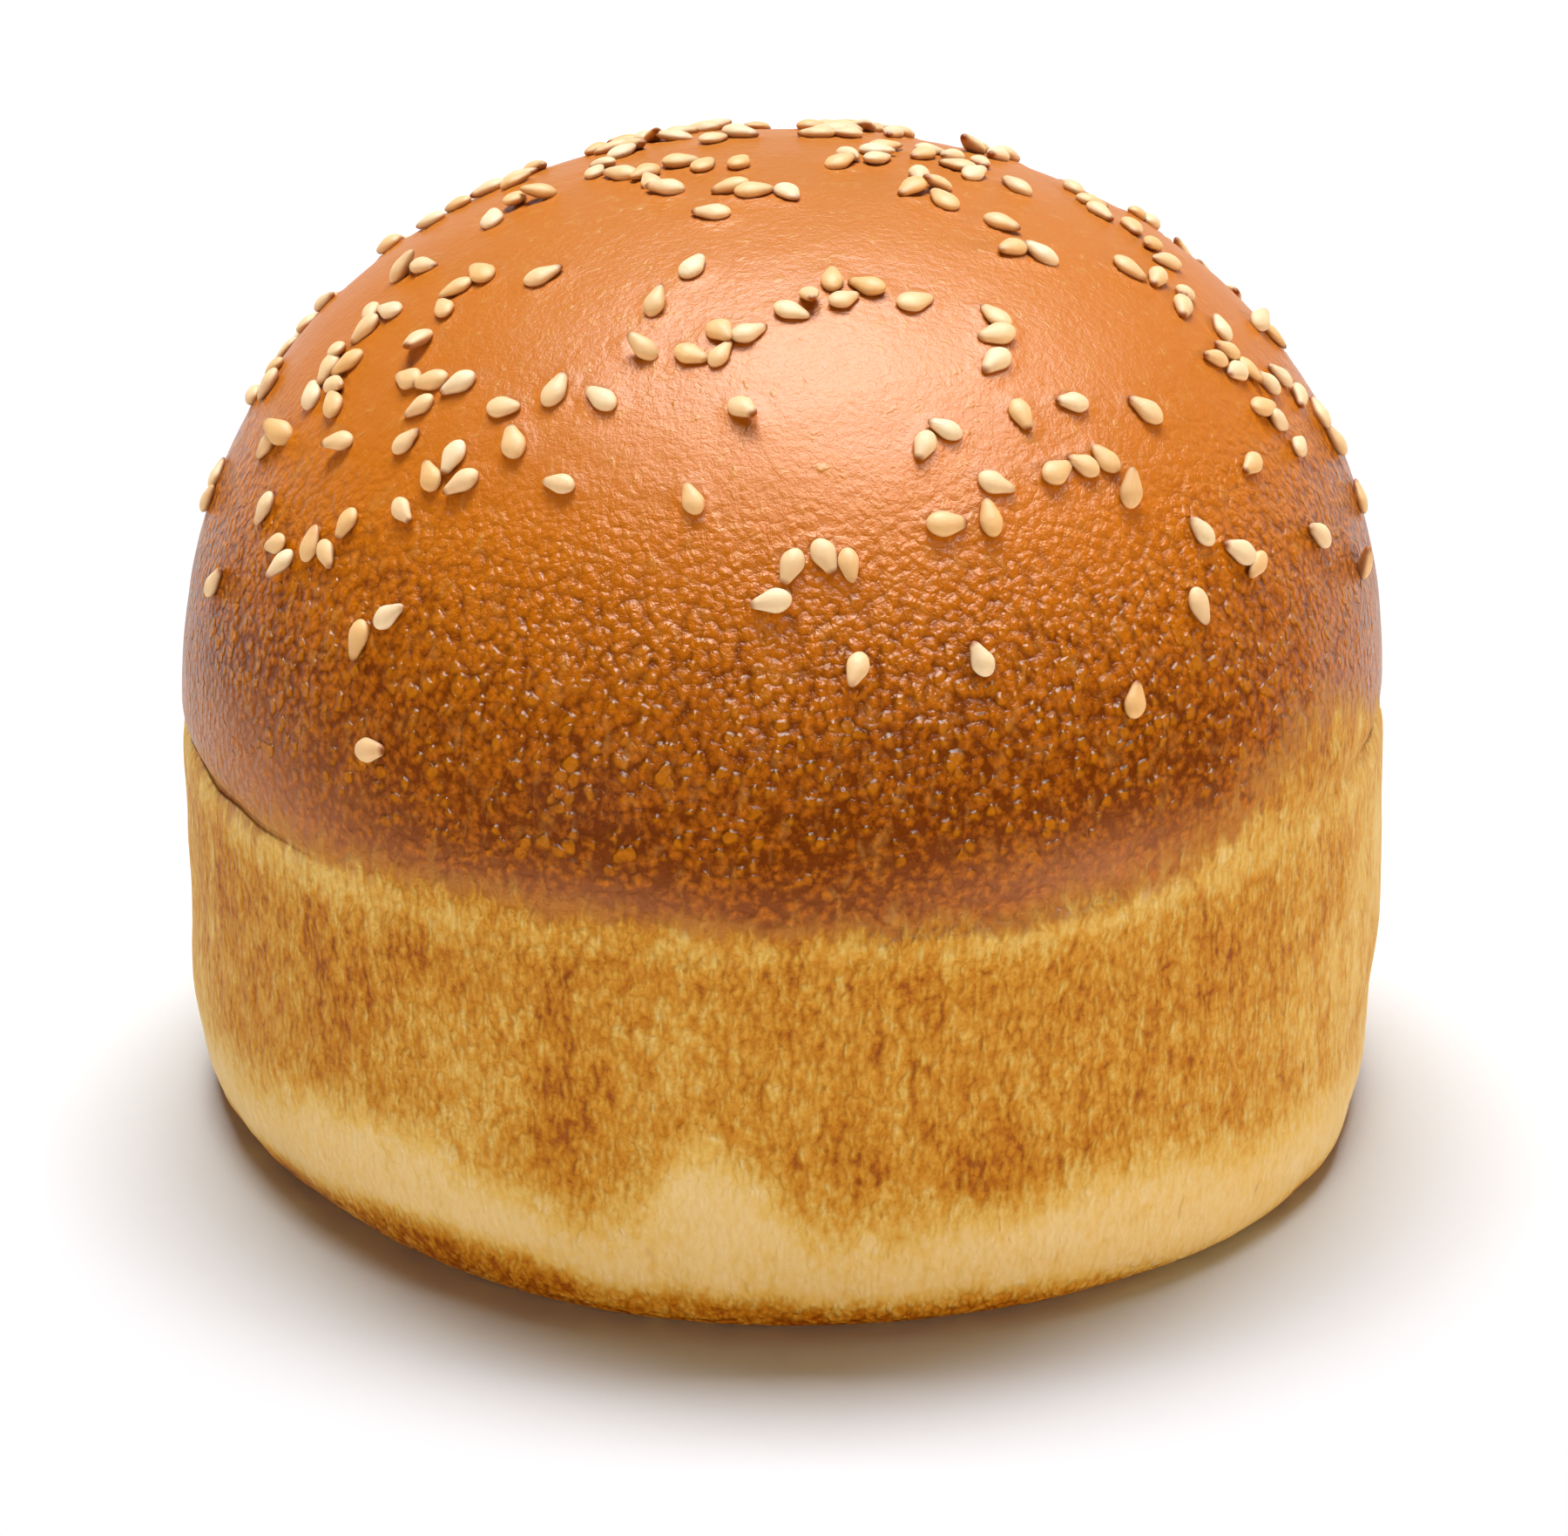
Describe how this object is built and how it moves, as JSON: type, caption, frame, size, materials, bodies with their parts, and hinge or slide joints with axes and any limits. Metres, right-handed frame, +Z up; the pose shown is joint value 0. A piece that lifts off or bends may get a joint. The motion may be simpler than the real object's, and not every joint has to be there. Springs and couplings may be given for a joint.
{
  "type": "sesame burger bun",
  "caption": "Tall round burger bun with an egg-washed golden dome scattered with sesame seeds, straight ring-baked sides and a flat underside.",
  "frame": {"origin": "middle of the flat underside", "axes": "+Z up through the dome, -Y towards the pictured front, +X to the right of it"},
  "size_m": [0.105, 0.1053, 0.0842],
  "materials": {
    "crust": "satin",
    "sesame_seed": "satin"
  },
  "bodies": {
    "root": {"bun": "crust"}
  },
  "joints": []
}
